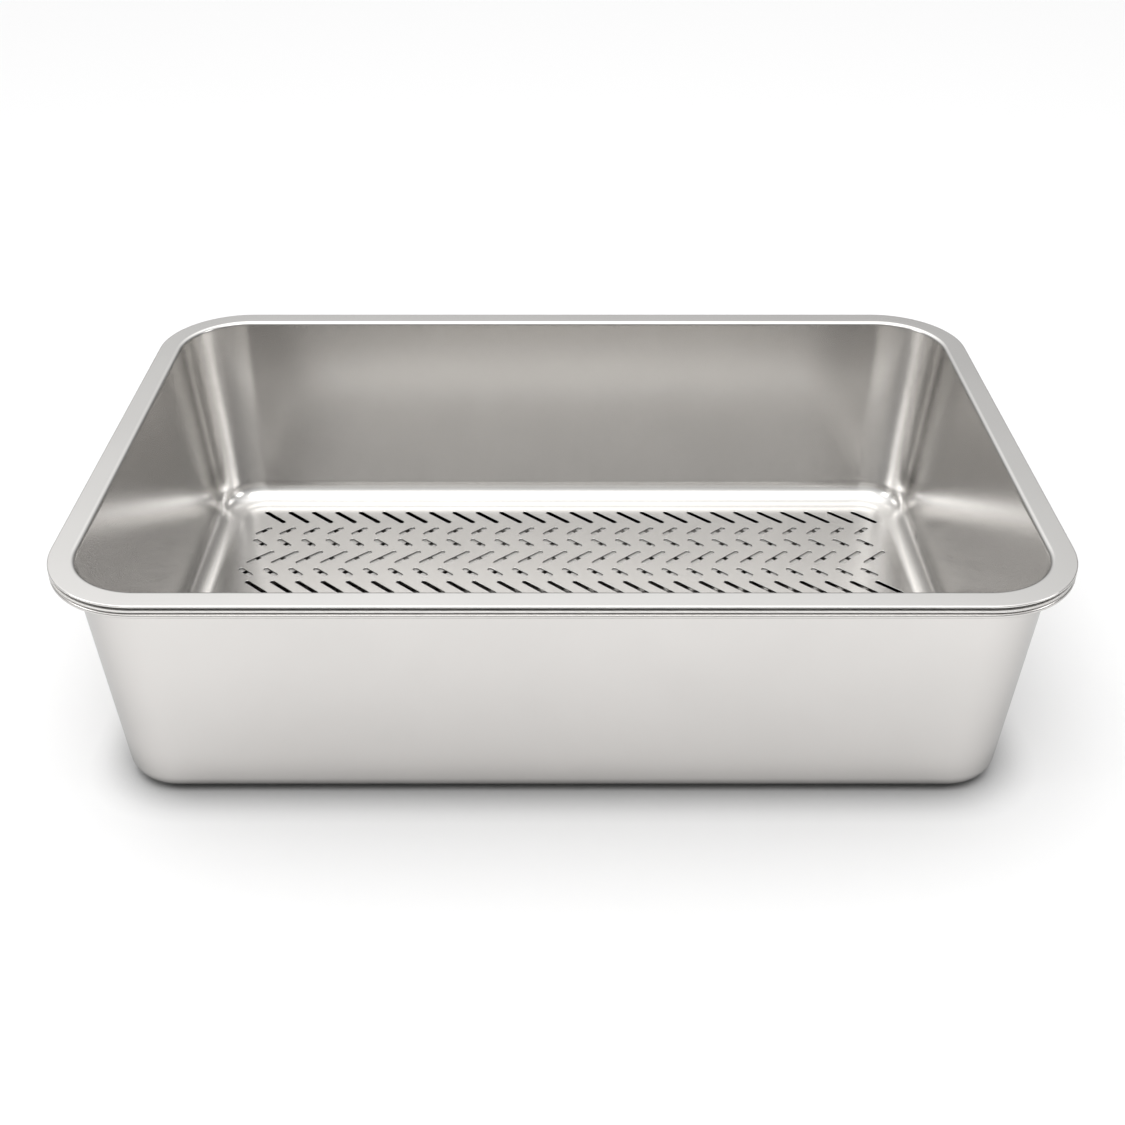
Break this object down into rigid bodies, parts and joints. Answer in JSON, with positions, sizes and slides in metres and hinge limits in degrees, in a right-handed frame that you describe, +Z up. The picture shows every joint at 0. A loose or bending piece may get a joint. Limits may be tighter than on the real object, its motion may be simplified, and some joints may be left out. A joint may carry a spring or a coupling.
{
  "type": "sifting cat litter box",
  "caption": "Open rectangular stainless steel cat litter box: a deep base pan with slotted sifting trays nested inside it, rim on rim, under flat hemmed rims.",
  "frame": {"origin": "on the ground under the middle of the box", "axes": "+X along the box's length, +Y towards the back, +Z up"},
  "size_m": [0.6, 0.4, 0.158],
  "materials": {
    "pan_steel": "satin, warm grey",
    "tray_steel": "satin, warm grey"
  },
  "bodies": {
    "base": {"base_pan": "pan_steel"},
    "lower_tray": {"lower_sifting_tray": "tray_steel"},
    "upper_tray": {"upper_sifting_tray": "tray_steel"}
  },
  "joints": [
    {"name": "lower_tray_lift", "type": "slide", "parent": "base", "child": "lower_tray", "axis": [0, 0, 1], "range_m": [0, 0.16]},
    {"name": "upper_tray_lift", "type": "slide", "parent": "lower_tray", "child": "upper_tray", "axis": [0, 0, 1], "range_m": [0, 0.16]}
  ]
}
